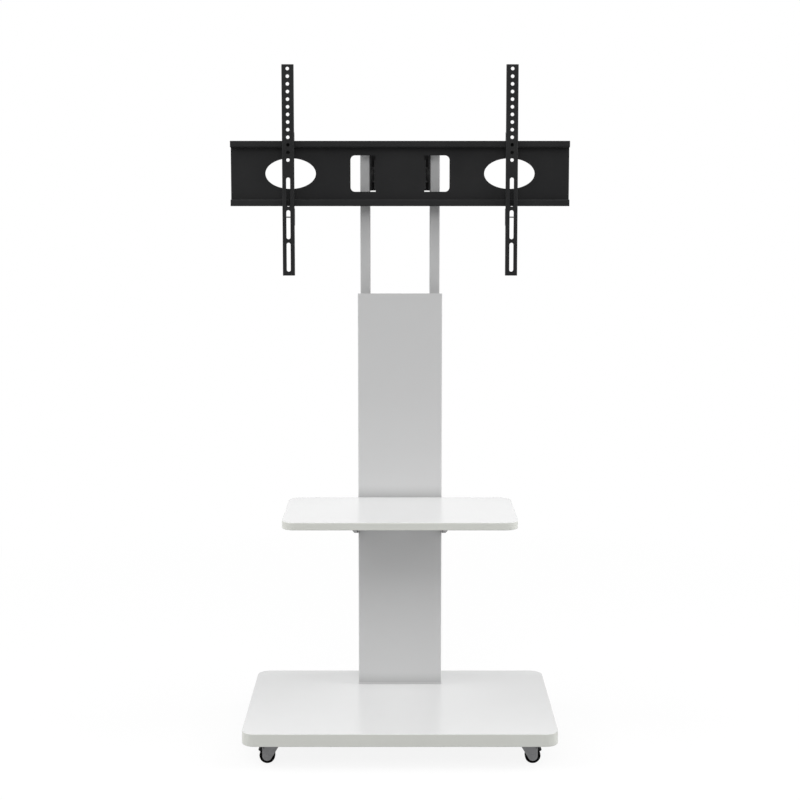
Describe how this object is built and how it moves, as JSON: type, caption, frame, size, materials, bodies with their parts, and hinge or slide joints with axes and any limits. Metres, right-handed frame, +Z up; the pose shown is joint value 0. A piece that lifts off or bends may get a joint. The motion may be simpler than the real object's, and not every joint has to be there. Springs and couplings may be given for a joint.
{
  "type": "tv stand with mount",
  "caption": "Television stand on casters: board base, sheet-metal column with telescoping tubes, sliding shelf, and a tilting mount plate with hanging arms.",
  "frame": {"origin": "on the floor, below the centre of the base board", "axes": "+X to the viewer's right, +Y to the back of the stand, +Z up"},
  "size_m": [0.68, 0.4, 1.3337],
  "materials": {
    "board": "white lacquered fibreboard, glossy",
    "column_paint": "silver-grey powder coat, satin",
    "tube_paint": "silver-grey paint, satin",
    "black_paint": "black powder coat, fine texture",
    "black_plastic": "moulded, matt",
    "hub_plastic": "moulded, satin",
    "tyre": "smooth rubber",
    "caster_steel": "grey plated sheet",
    "zinc": "zinc plated",
    "black_steel": "black oxide"
  },
  "bodies": {
    "stand": {"base_board": "board", "foot_plate": "column_paint", "column_bolts": "zinc", "guide_tube_left": "tube_paint", "guide_tube_right": "tube_paint", "tie_plate_upper": "tube_paint", "tie_plate_lower": "tube_paint", "column_cover": "column_paint", "cover_screws": "zinc", "guide_bush_left": "black_plastic", "guide_bush_right": "black_plastic", "clamp_nuts": "zinc", "clamp_bolts": "black_steel", "caster_plate_fl": "caster_steel", "caster_plate_fr": "caster_steel", "caster_plate_rl": "caster_steel", "caster_plate_rr": "caster_steel", "king_pins": "zinc", "caster_screws": "zinc"},
    "mast": {"upper_tube_left": "tube_paint", "upper_tube_right": "tube_paint", "tube_cap_left": "black_plastic", "tube_cap_right": "black_plastic", "slide_plug_left": "black_plastic", "slide_plug_right": "black_plastic", "tilt_yoke": "black_paint", "yoke_screws": "black_steel", "pivot_pins": "zinc", "friction_washer_left": "black_plastic", "friction_washer_right": "black_plastic", "pivot_nuts": "zinc"},
    "head": {"tv_plate": "black_paint", "tilt_bracket": "black_paint"},
    "arm_left": {"tv_arm_left": "black_paint"},
    "arm_right": {"tv_arm_right": "black_paint"},
    "shelf": {"shelf_board": "board", "shelf_bracket_left": "column_paint", "shelf_bracket_right": "column_paint", "shelf_clamp_bar": "column_paint", "shelf_screws": "zinc", "saddle_bolts": "zinc"},
    "fork_fl": {"caster_fork_fl": "caster_steel", "axle_fl": "zinc"},
    "wheel_fl": {"tyre_fl": "tyre", "wheel_hub_fl": "hub_plastic"},
    "fork_fr": {"caster_fork_fr": "caster_steel", "axle_fr": "zinc"},
    "wheel_fr": {"tyre_fr": "tyre", "wheel_hub_fr": "hub_plastic"},
    "fork_rl": {"caster_fork_rl": "caster_steel", "axle_rl": "zinc"},
    "wheel_rl": {"tyre_rl": "tyre", "wheel_hub_rl": "hub_plastic"},
    "fork_rr": {"caster_fork_rr": "caster_steel", "axle_rr": "zinc"},
    "wheel_rr": {"tyre_rr": "tyre", "wheel_hub_rr": "hub_plastic"},
    "pedal_fl": {"brake_pedal_fl": "black_plastic"},
    "pedal_fr": {"brake_pedal_fr": "black_plastic"}
  },
  "joints": [
    {"name": "mast_height", "type": "slide", "parent": "stand", "child": "mast", "axis": [0, 0, 1], "range_m": [-0.15, 0.1]},
    {"name": "mount_tilt", "type": "hinge", "parent": "mast", "child": "head", "pos_m": [0, 0.152, 1.1165], "axis": [1, 0, 0], "range_deg": [-10, 15]},
    {"name": "arm_left_slide", "type": "slide", "parent": "head", "child": "arm_left", "axis": [1, 0, 0], "range_m": [-0.0765, 0.1235]},
    {"name": "arm_right_slide", "type": "slide", "parent": "head", "child": "arm_right", "axis": [-1, 0, 0], "range_m": [-0.0765, 0.1235]},
    {"name": "shelf_height", "type": "slide", "parent": "stand", "child": "shelf", "axis": [0, 0, 1], "range_m": [-0.1, 0.15]},
    {"name": "swivel_fl", "type": "hinge", "parent": "stand", "child": "fork_fl", "pos_m": [-0.248, -0.16, 0.036], "axis": [0, 0, 1], "continuous": true},
    {"name": "roll_fl", "type": "hinge", "parent": "fork_fl", "child": "wheel_fl", "pos_m": [-0.253, -0.16, 0.015], "axis": [0, 1, 0], "continuous": true},
    {"name": "swivel_fr", "type": "hinge", "parent": "stand", "child": "fork_fr", "pos_m": [0.248, -0.16, 0.036], "axis": [0, 0, 1], "continuous": true},
    {"name": "roll_fr", "type": "hinge", "parent": "fork_fr", "child": "wheel_fr", "pos_m": [0.253, -0.16, 0.015], "axis": [0, 1, 0], "continuous": true},
    {"name": "swivel_rl", "type": "hinge", "parent": "stand", "child": "fork_rl", "pos_m": [-0.248, 0.16, 0.036], "axis": [0, 0, 1], "continuous": true},
    {"name": "roll_rl", "type": "hinge", "parent": "fork_rl", "child": "wheel_rl", "pos_m": [-0.253, 0.16, 0.015], "axis": [0, 1, 0], "continuous": true},
    {"name": "swivel_rr", "type": "hinge", "parent": "stand", "child": "fork_rr", "pos_m": [0.248, 0.16, 0.036], "axis": [0, 0, 1], "continuous": true},
    {"name": "roll_rr", "type": "hinge", "parent": "fork_rr", "child": "wheel_rr", "pos_m": [0.253, 0.16, 0.015], "axis": [0, 1, 0], "continuous": true},
    {"name": "brake_fl", "type": "hinge", "parent": "fork_fl", "child": "pedal_fl", "pos_m": [-0.2595, -0.16, 0.0318], "axis": [0, 1, 0], "range_deg": [0, 20]},
    {"name": "brake_fr", "type": "hinge", "parent": "fork_fr", "child": "pedal_fr", "pos_m": [0.2595, -0.16, 0.0318], "axis": [0, -1, 0], "range_deg": [0, 20]}
  ]
}
